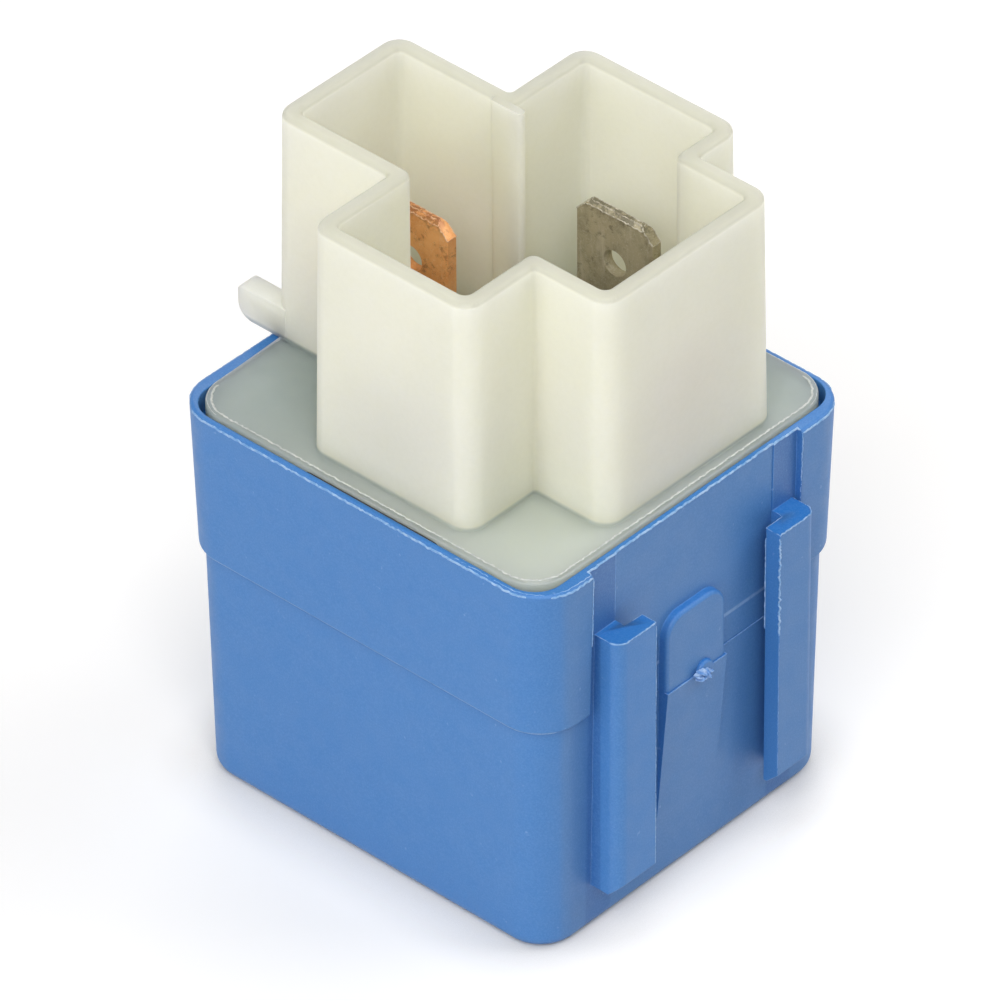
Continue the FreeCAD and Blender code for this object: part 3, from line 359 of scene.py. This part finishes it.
steel = inner_finish("plated_steel", linear(176, 176, 170), linear(158, 158, 150), 0.38, 1.0, 0.8)
black = inner_finish("black_plastic", linear(38, 38, 40), linear(46, 46, 48), 0.5)
winding = inner_finish("enamelled_wire", linear(150, 78, 38), linear(128, 62, 30), 0.3, 0.6, 4.0,
                       (0.1, 0.1, 1.0))
film = inner_finish("amber_film", linear(206, 160, 84), linear(190, 144, 70), 0.25, 0.0, 0.6)
brass = inner_finish("rivet_brass", linear(208, 176, 108), linear(190, 156, 92), 0.32, 1.0, 1.5)
silver = inner_finish("contact_silver", linear(206, 204, 198), linear(184, 182, 176), 0.3, 1.0, 1.5)
lacquer = inner_finish("resistor_lacquer", linear(88, 122, 138), linear(74, 108, 124), 0.3, 0.0, 1.0)
wire_tin = inner_finish("tinned_wire", linear(182, 182, 176), linear(160, 160, 154), 0.34, 1.0, 2.0)

FINISH = {
    "cover": blue, "base": ivory,
    "coil_terminal_a": tin, "coil_terminal_b": tin,
    "load_terminal": copper, "common_terminal": copper,
    "back_stop": bronze, "yoke": steel, "core": steel, "bobbin": black,
    "coil_winding": winding, "coil_wrap": film, "armature": steel, "contact_leaf": bronze,
    "leaf_rivets": brass, "moving_contact": silver, "fixed_contact": silver,
    "hinge_spring": bronze, "hinge_rivets": brass, "resistor": lacquer,
    "resistor_lead_a": wire_tin, "resistor_lead_b": wire_tin,
    "coil_lead_a": winding, "coil_lead_b": winding,
}
for name, material in FINISH.items():
    slots = nodes[name].data.materials
    slots.clear()
    slots.append(material)

# Shapes: copies of the CAD solids with rounded edges, and torn flash along some edges

SHARP = math.radians(20)
FLAT = math.radians(0.3)


def clean_shape(node):
    """The node's mesh with its points joined and its flat faces whole."""
    shape = bmesh.new()
    shape.from_mesh(nodes[node].data)
    bmesh.ops.remove_doubles(shape, verts=shape.verts, dist=1e-7)
    bmesh.ops.dissolve_limit(shape, angle_limit=FLAT, verts=shape.verts, edges=shape.edges)
    shape.normal_update()
    return shape


def sharp_edges(shape):
    """Sharp edges, each with its middle in millimetres, its faces' normals, and if it stands out."""
    for edge in shape.edges:
        if len(edge.link_faces) != 2:
            continue
        angle = edge.calc_face_angle_signed(0.0)
        if abs(angle) < SHARP:
            continue
        middle = (edge.verts[0].co + edge.verts[1].co) / 2 / MM
        one, two = (face.normal for face in edge.link_faces)
        yield edge, middle, one, two, angle > 0


def add_piece(name, mesh, material, slot):
    """An object on the case, with its material."""
    mesh.materials.clear()
    mesh.materials.append(material)
    item = bpy.data.objects.new(name, mesh)
    bpy.context.scene.collection.objects.link(item)
    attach(item, "case")
    return item


def softened(node, piece, material, slot, width_of, segments=3, reshape=None):
    """A copy of a node with rounded edges, as wide as the rule says in millimetres.

    An edge of no width stays sharp, and one without any answer is only shaded smooth.
    """
    shape = clean_shape(node)
    if reshape:
        reshape(shape)
        bmesh.ops.remove_doubles(shape, verts=shape.verts, dist=1e-6)
        shape.normal_update()
    weight = shape.edges.layers.float.new("bevel_weight_edge")
    widest = 0.0
    for face in shape.faces:
        face.smooth = True
    for edge in shape.edges:
        edge.smooth = True
    for edge, middle, _, _, convex in sharp_edges(shape):
        width = width_of(middle, convex)
        if width is None:
            continue
        edge[weight] = width
        edge.smooth = width > 0
        widest = max(widest, width)
    for edge in shape.edges:
        edge[weight] = edge[weight] / widest
    mesh = bpy.data.meshes.new(piece)
    shape.to_mesh(mesh)
    shape.free()
    item = add_piece(piece, mesh, material, slot)
    bevel = item.modifiers.new("soft_edges", "BEVEL")
    bevel.width = widest * MM
    bevel.segments = segments
    bevel.limit_method = "WEIGHT"
    bevel.use_clamp_overlap = False
    bevel.miter_outer = "MITER_SHARP"
    shade = item.modifiers.new("even_shade", "WEIGHTED_NORMAL")
    shade.weight = 100
    shade.keep_sharp = True
    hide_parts(node)


def chains(node, test):
    """Runs of sharp outer edges that pass a test, as points with the way out at each."""
    shape = clean_shape(node)
    links = {}
    for edge, middle, one, two, convex in sharp_edges(shape):
        if convex and test(middle, one, two, (edge.verts[1].co - edge.verts[0].co).normalized()):
            outward = (one + two).normalized()
            for this, other in (edge.verts, reversed(edge.verts)):
                links.setdefault(this, []).append((other, outward))
    used = set()
    runs = []
    starts = [spot for spot, ends in links.items() if len(ends) != 2] + list(links)
    for start in starts:
        for second, outward in links[start]:
            key = frozenset((start.index, second.index))
            if key in used:
                continue
            run = [(start.co.copy(), outward)]
            here, there = start, second
            while True:
                used.add(frozenset((here.index, there.index)))
                onward = [(spot, way) for spot, way in links[there]
                          if frozenset((there.index, spot.index)) not in used]
                way = onward[0][1] if onward else outward
                run.append((there.co.copy(), (outward + way).normalized()))
                if len(links[there]) != 2 or not onward:
                    break
                here, there, outward = there, onward[0][0], way
            runs.append(run)
    shape.free()
    return runs


def resampled(run, step):
    """Points at an even step along a run."""
    points = []
    for (start, way), (end, far_way) in zip(run, run[1:]):
        count = max(1, round((end - start).length / (step * MM)))
        points += [(start.lerp(end, i / count), way.lerp(far_way, i / count).normalized())
                   for i in range(count)]
    return points + [run[-1]]


def cut_run(run, limits):
    """The stretches of a run inside limits on x, y and z in millimetres."""
    if limits is None:
        return [run]
    x_low, x_high, y_low, y_high, z_low, z_high = (limit * MM for limit in limits)
    kept, stretch = [], []
    for spot, way in resampled(run, 0.25):
        if x_low <= spot.x <= x_high and y_low <= spot.y <= y_high and z_low <= spot.z <= z_high:
            stretch.append((spot, way))
        elif stretch:
            kept.append(stretch)
            stretch = []
    if stretch:
        kept.append(stretch)
    return [stretch for stretch in kept if len(stretch) > 2]


class Flash:
    """One mesh of thin, ragged ridges."""

    def __init__(self, name):
        self.name = name
        self.shape = bmesh.new()

    def ridge(self, run, width, height, share=0.7, sink=0.03, wander=0.03, step=0.08, pace=1.4,
              inset=0.0):
        """A ridge along a run, its sizes in millimetres.

        Share is how much of it stands up, wander how far it strays to its sides, pace how fast
        it changes, and inset moves a line on a flat top inward from its edge.
        """
        points = resampled(run, step)
        if inset:
            points = [(spot - Vector((way.x, way.y, 0)).normalized() * inset * MM, Vector((0, 0, 1)))
                      for spot, way in points]
        if len(points) < 4:
            return
        rings = []
        last = len(points) - 1
        for index, (spot, way) in enumerate(points):
            ahead = points[min(index + 1, last)][0] - points[max(index - 1, 0)][0]
            across = ahead.cross(way).normalized()
            # A slow and a quick wave say where it stands up, and it sinks away at its ends
            key = spot / MM
            slow = 0.5 + 0.5 * noise.noise(key * pace * 0.35)
            quick = 0.5 + 0.5 * noise.noise(key * pace * 3.6 + Vector((7, 3, 1)))
            lift = min(1.0, max(0.0, (0.55 * slow + 0.45 * quick - (1 - share) * 0.62) / 0.32))
            lift *= min(1.0, index / 3, (last - index) / 3)
            side = noise.noise(key * pace * 3.0 + Vector((2, 9, 4))) * wander
            half = width * 0.5 * (0.45 + 0.55 * lift) * (0.8 + 0.4 * quick)
            top = height * lift * (0.5 + 0.8 * quick)
            foot = spot - way * sink * MM
            ring = [foot + across * (side - half) * MM,
                    foot + across * (side - half * 0.4) * MM + way * (sink * 0.6 + top) * MM,
                    foot + across * (side + half * 0.4) * MM + way * (sink * 0.6 + top * 0.8) * MM,
                    foot + across * (side + half) * MM]
            if lift <= 0.02:
                ring = [corner - way * (0.05 * MM) for corner in ring]
            rings.append([self.shape.verts.new(corner) for corner in ring])
        for one, two in zip(rings, rings[1:]):
            for i in range(4):
                j = (i + 1) % 4
                self.shape.faces.new((one[i], one[j], two[j], two[i]))
        self.shape.faces.new(reversed(rings[0]))
        self.shape.faces.new(rings[-1])

    def finish(self, material, slot):
        bmesh.ops.recalc_face_normals(self.shape, faces=self.shape.faces)
        mesh = bpy.data.meshes.new(self.name)
        self.shape.to_mesh(mesh)
        self.shape.free()
        add_piece(self.name, mesh, material, slot)


def level(way):
    """Tells a direction that runs along the ground."""
    return abs(way.z) < 0.3


def upright(way):
    """Tells a direction that runs up or down."""
    return abs(way.z) > 0.9


def cover_width(p, convex):
    """How far each edge of the cover is rounded."""
    if (p - GATE).length < 0.9:
        return 0.20 if convex and p.x > GATE.x - 0.05 else 0.0
    in_cup = CUP_FLOOR < p.z < CUP_MOUTH and abs(p.x) < CUP_HALF_X and abs(p.y) < CUP_HALF_Y
    beside_rail = p.z > PARTING - 0.2 and p.x < RAIL_ROOT and abs(abs(p.y) - RAIL_INSIDE) < 0.12
    on_parting = p.x > WALL_FACE and abs(p.z - PARTING) < 0.2
    on_tongue = p.x > WALL_FACE and p.z < PARTING and abs(p.y) < TONGUE_HALF
    if in_cup or beside_rail or on_parting or on_tongue:
        return 0.0
    return 0.08 if convex else 0.05


def in_post(p):
    """Tells the post inside the shroud's back left corner."""
    return POST_X[0] < p.x < POST_X[1] and POST_Y[0] < p.y < POST_Y[1]


def base_width(p, convex):
    """How far each edge of the base is rounded. The post's edges are round in the CAD."""
    if p.z > SHROUD_TOP - 0.5:
        return 0.0 if in_post(p) else 0.05
    if in_post(p) and p.z > PLATE_TOP + 0.1:
        return None
    if abs(p.z - PLATE_TOP) < 0.05 and convex:
        return 0.14
    if abs(p.z - PLATE_TOP) < 0.05:
        return 0.0 if in_post(p) else 0.12
    return 0.12 if p.x < TAB_ROOT else 0.0


def base_details(shape):
    """Lowers the roof of the hidden catches, which would swallow the light in the plate's edge."""
    for spot in shape.verts:
        y, z = spot.co.y / MM, spot.co.z / MM
        if abs(z - (PLATE_TOP - CATCH_LIP)) < 0.02 and abs(y) > CATCH_SIDE:
            spot.co.z -= CATCH_DROP * MM


def blade_width(p, convex):
    """How far each edge of a blade's free part is rounded."""
    return 0.05 if convex and p.z > BLADE_FREE else 0.0


softened("cover", "cover_shell", blue, "blue_plastic", cover_width)
softened("base", "base_moulding", ivory, "ivory_plastic", base_width, reshape=base_details)
BLADES = (("load_terminal", copper, copper_burr, "copper_blade"),
          ("common_terminal", copper, copper_burr, "copper_blade"),
          ("coil_terminal_a", tin, tin_burr, "tinned_blade"),
          ("coil_terminal_b", tin, tin_burr, "tinned_blade"))
for name, material, burr, slot in BLADES:
    softened(name, name + "_blade", material, slot, blade_width, 2)


def flashed(name, node, material, slot, entries):
    """One piece of flash along the node's edges that pass each test.

    A test gets an edge's middle p, its faces' normals a and b, and its direction t.
    """
    piece = Flash(name)
    for test, limits, sizes in entries:
        for run in chains(node, test):
            for part in cut_run(run, limits):
                piece.ridge(part, **sizes)
    piece.finish(material, slot)


def heights(low, high=FAR):
    """Limits between two heights."""
    return (-FAR, FAR, -FAR, FAR, low, high)


def around(p, half_x, half_y):
    """Tells what lies outside an upright box."""
    return max(abs(p.x) - half_x, abs(p.y) - half_y) > 0


flashed("rim_flash", "cover", blue_flash, "blue_plastic", [
    # The outer edge of the rim's bevel, all round
    (lambda p, a, b, t: p.z > RIM - 0.25 and level(t) and min(a.z, b.z) < 0.3
     and around(p, COLLAR_HALF_X, COLLAR_HALF_Y), None,
     dict(width=0.15, height=0.05, share=0.85, wander=0.06)),
    # Its inner edge, near the front corner
    (lambda p, a, b, t: p.z > RIM - 0.25 and level(t) and 0.3 < min(a.z, b.z) < 0.9
     and max(a.z, b.z) > 0.95, (8, 16, -15, -9, 0, FAR),
     dict(width=0.08, height=0.03, share=0.45, wander=0.06)),
    # The collar's ends beside the rails
    (lambda p, a, b, t: p.x > COLLAR_FACE and upright(t) and p.z > RAIL_TOP - 6
     and -10.2 < p.y < -9.5, heights(RAIL_TOP - 0.6),
     dict(width=0.10, height=0.05, share=0.7, wander=0.06)),
    (lambda p, a, b, t: p.x > COLLAR_FACE and upright(t) and p.z > RAIL_TOP - 6
     and 9.2 < p.y < 9.8, heights(RAIL_TOP - 0.2),
     dict(width=0.07, height=0.03, share=0.4, wander=0.05)),
    # The rails' top front edges, and the faint back ones
    (lambda p, a, b, t: p.x > RAIL_ROOT and abs(p.z - RAIL_TOP) < 0.05 and level(t)
     and max(a.z, b.z) > 0.9 and (a + b).x > 0.05, None,
     dict(width=0.11, height=0.05, share=0.75, wander=0.05)),
    (lambda p, a, b, t: p.x > COLLAR_FACE and abs(p.z - RAIL_TOP) < 0.05 and level(t)
     and max(a.z, b.z) > 0.9 and (a + b).x <= 0.05, None,
     dict(width=0.06, height=0.02, share=0.35, wander=0.03)),
    # The rails' lips: torn on the right rail above the parting line, fainter elsewhere
    (lambda p, a, b, t: p.x > RAIL_FACE and upright(t) and abs(p.y - LIP_EDGE) < 0.05,
     heights(PARTING, RAIL_TOP - 0.1),
     dict(width=0.13, height=0.05, share=0.75, wander=0.10, pace=2.0)),
    (lambda p, a, b, t: p.x > RAIL_FACE and upright(t) and abs(p.y + LIP_EDGE) < 0.05,
     heights(LIP_FOOT, RAIL_TOP - 0.1),
     dict(width=0.07, height=0.03, share=0.55, wander=0.04)),
    (lambda p, a, b, t: RAIL_ROOT + 0.2 < p.x < RAIL_ROOT + 0.5 and upright(t)
     and abs(p.y - LIP_EDGE) < 0.05,
     heights(PARTING, RAIL_TOP - 0.6),
     dict(width=0.12, height=0.06, share=0.6, wander=0.05)),
])

flashed("parting_lines", "cover", blue_line, "blue_plastic", [
    # The line above the left rail's inner side
    (lambda p, a, b, t: CUP_HALF_X < p.x < RAIL_ROOT + 0.2 and upright(t)
     and abs(p.y + RAIL_INSIDE) < 0.12, heights(RAIL_TOP + 0.1),
     dict(width=0.06, height=0.02, share=0.9, wander=0.0)),
    # The parting line between the rails
    (lambda p, a, b, t: p.x > WALL_FACE + 0.2 and abs(p.z - PARTING) < 0.05 and level(t)
     and abs(p.y) < RAIL_INSIDE and max(a.z, b.z) > 0.5 and (p - GATE).length > 0.6, None,
     dict(width=0.09, height=0.03, share=0.9, wander=0.01)),
    # The right rail's lip below it
    (lambda p, a, b, t: p.x > RAIL_FACE and upright(t) and abs(p.y - LIP_EDGE) < 0.05,
     heights(LIP_FOOT, PARTING - 0.3),
     dict(width=0.06, height=0.02, share=0.5, wander=0.03)),
])

flashed("plate_flash", "base", ivory_flash, "ivory_plastic", [
    # The plate's edge on the two front sides
    (lambda p, a, b, t: abs(p.z - PLATE_TOP) < 0.05 and level(t) and (p.x > 12.0 or p.y < -11.5)
     and max(a.z, b.z) > 0.9 and around(p, EDGE_HALF_X, EDGE_HALF_Y), None,
     dict(width=0.20, height=0.05, share=0.80, wander=0.08, inset=0.38)),
    # The two far sides
    (lambda p, a, b, t: abs(p.z - PLATE_TOP) < 0.05 and level(t) and (p.x < -12.0 or p.y > 11.5)
     and max(a.z, b.z) > 0.9 and around(p, EDGE_HALF_X, EDGE_HALF_Y), None,
     dict(width=0.07, height=0.03, share=0.5, wander=0.03, inset=0.10)),
    # The shroud's top
    (lambda p, a, b, t: p.z > SHROUD_TOP - 0.1 and level(t) and not in_post(p), None,
     dict(width=0.12, height=0.05, share=0.50, wander=0.10, pace=1.8)),
])

for name, material, burr, slot in BLADES:
    flashed(name + "_burr", name, burr, slot, [
        (lambda p, a, b, t: p.z > BLADE_BEVEL, None,
         dict(width=0.12, height=0.04, share=0.6, wander=0.08, pace=2.2)),
    ])


def torn_gate():
    """The whitened stub where the moulding was broken off its gate."""
    shape = bmesh.new()
    half_long, half_high = 0.80, 0.45
    along = Vector((0.0, 0.97, -0.23))
    across = Vector((0.0, 0.23, 0.97))
    spokes, rings = 56, 12
    hub = shape.verts.new((GATE_STUB + Vector((0.22, 0, 0))) * MM)
    previous = None
    for ring in range(1, rings + 1):
        share = ring / rings
        row = []
        for spoke in range(spokes):
            angle = 2 * math.pi * spoke / spokes
            round_x, round_y = math.cos(angle), math.sin(angle)
            edge = 1.0 + 0.55 * noise.noise(Vector((round_x * 2.1, round_y * 2.1, 4.0)))
            edge *= 0.85 + 0.3 * abs(noise.noise(Vector((round_x * 6, round_y * 6, 9.0))))
            reach = share * edge
            flat = along * (round_x * half_long * reach) + across * (round_y * half_high * reach)
            spot = GATE_STUB + flat
            rough = abs(noise.noise(spot * 3.1)) * 1.5 + abs(noise.noise(spot * 7.0)) * 0.5
            lift = (1 - share ** 3) * (0.10 + 0.42 * rough) if ring < rings else -0.12
            row.append(shape.verts.new((spot + Vector((lift, 0, 0))) * MM))
        for i in range(spokes):
            j = (i + 1) % spokes
            if previous is None:
                shape.faces.new((hub, row[i], row[j]))
            else:
                shape.faces.new((previous[i], row[i], row[j], previous[j]))
        previous = row
    shape.faces.new(list(reversed(previous)))
    bmesh.ops.recalc_face_normals(shape, faces=shape.faces)
    mesh = bpy.data.meshes.new("gate_stub")
    shape.to_mesh(mesh)
    shape.free()
    add_piece("gate_stub", mesh, blue_torn, "blue_plastic")
    # Three bent strands across it
    strands = Flash("gate_strands")
    for start, bend, end, width in (
            ((16.05, -0.50, 15.70), (16.25, -0.10, 15.45), (16.10, 0.55, 15.30), 0.14),
            ((16.10, 0.00, 15.80), (16.28, 0.35, 15.60), (16.12, 0.80, 15.50), 0.12),
            ((16.00, -0.35, 15.50), (16.12, -0.25, 15.20), (15.95, -0.05, 15.00), 0.12)):
        start, bend, end = Vector(start), Vector(bend), Vector(end)
        run = []
        for i in range(9):
            part = i / 8
            spot = start.lerp(bend, part).lerp(bend.lerp(end, part), part)
            run.append((spot * MM, Vector((1, 0, 0))))
        strands.ridge(run, width=width, height=0.14, share=0.95, sink=0.10, wander=0.05,
                      step=0.06, pace=3.0)
    strands.finish(blue_torn, "blue_plastic")


torn_gate()

# A black strip in the gap beside the plate's catch, a painted shadow for its dark inside
gap_shadow = Flash("catch_gap_shadow")
gap_shadow.ridge([(Vector((x, GAP_SIDE, GAP_HEIGHT)) * MM, Vector((0, 0, 1))) for x in (-4.4, 0.0, 6.4)],
          width=0.12, height=0.01, share=1.0, sink=0.05, wander=0.0, step=0.3)
gap_shadow.finish(black, "black_plastic")

# Stage: a pale floor, a pale surround and soft lamps

FLOOR_SIZE = 6.0
LAMP_SIZE = 0.5
LAMP_AIM = Vector((0, 0, 0.02))


def camera_only(tree, low, high):
    """A number that is high for what the camera sees, also in glossy and clear surfaces."""
    path = tree.nodes.new("ShaderNodeLightPath")
    total = path.outputs["Is Camera Ray"]
    for name in ("Is Glossy Ray", "Is Transmission Ray"):
        item = tree.nodes.new("ShaderNodeMath")
        item.operation = "MAXIMUM"
        tree.links.new(total, item.inputs[0])
        tree.links.new(path.outputs[name], item.inputs[1])
        total = item.outputs[0]
    item = tree.nodes.new("ShaderNodeMapRange")
    tree.links.new(total, item.inputs["Value"])
    item.inputs["To Min"].default_value = low
    item.inputs["To Max"].default_value = high
    return item.outputs["Result"]


bpy.ops.mesh.primitive_plane_add(size=FLOOR_SIZE, location=(0, 0, 0))
floor = bpy.context.active_object
floor.name = "floor"
floor_look = Surface("floor_white")
floor_look.set(Base_Color=(0.78, 0.76, 0.735, 1.0), Roughness=0.9, Specular_IOR_Level=0.0,
               Emission_Color=(0.97, 0.98, 1.0, 1.0))
# The floor glows for the camera, less so close to the case, where the dimmed glow paints a contact
# shadow
contact_shadow_ao = floor_look.node("ShaderNodeAmbientOcclusion", samples=4)
contact_shadow_ao.inputs["Distance"].default_value = 4.5 * MM
glow = floor_look.math("MULTIPLY", camera_only(floor_look.tree, 0.0, 0.32),
                       floor_look.ramp(contact_shadow_ao.outputs["AO"], 0.40, 1.0, 0.0, 1.0))
floor_look.feed(floor_look.shader.inputs["Emission Strength"], glow)
floor.data.materials.append(floor_look.material)

world = bpy.data.worlds.new("surround")
bpy.context.scene.world = world
world.use_nodes = True
world_back = world.node_tree.nodes["Background"]
world_back.inputs["Color"].default_value = (1.0, 1.0, 1.0, 1.0)
world.node_tree.links.new(camera_only(world.node_tree, 0.05, 1.0), world_back.inputs["Strength"])


def lamp(name, place, light):
    """A square soft lamp that faces the object; light is what it gives a face turned to it."""
    distance = Vector(place).length
    data = bpy.data.lights.new(name, "AREA")
    data.shape = "SQUARE"
    data.size = LAMP_SIZE
    data.energy = light * math.pi ** 2 * distance ** 2
    item = bpy.data.objects.new(name, data)
    bpy.context.scene.collection.objects.link(item)
    item.location = place
    item.rotation_mode = "QUATERNION"
    item.rotation_quaternion = (Vector(place) - LAMP_AIM).to_track_quat("Z", "Y")


lamp("key_lamp", (0.35, -0.40, 0.60), 0.66)
lamp("back_right_lamp", (0.35, 0.45, 0.60), 0.43)
lamp("back_left_lamp", (-0.45, 0.45, 0.50), 0.23)
lamp("front_left_lamp", (-0.05, -0.75, 0.30), 0.31)
lamp("left_lamp", (-0.35, -0.45, 0.60), 0.12)
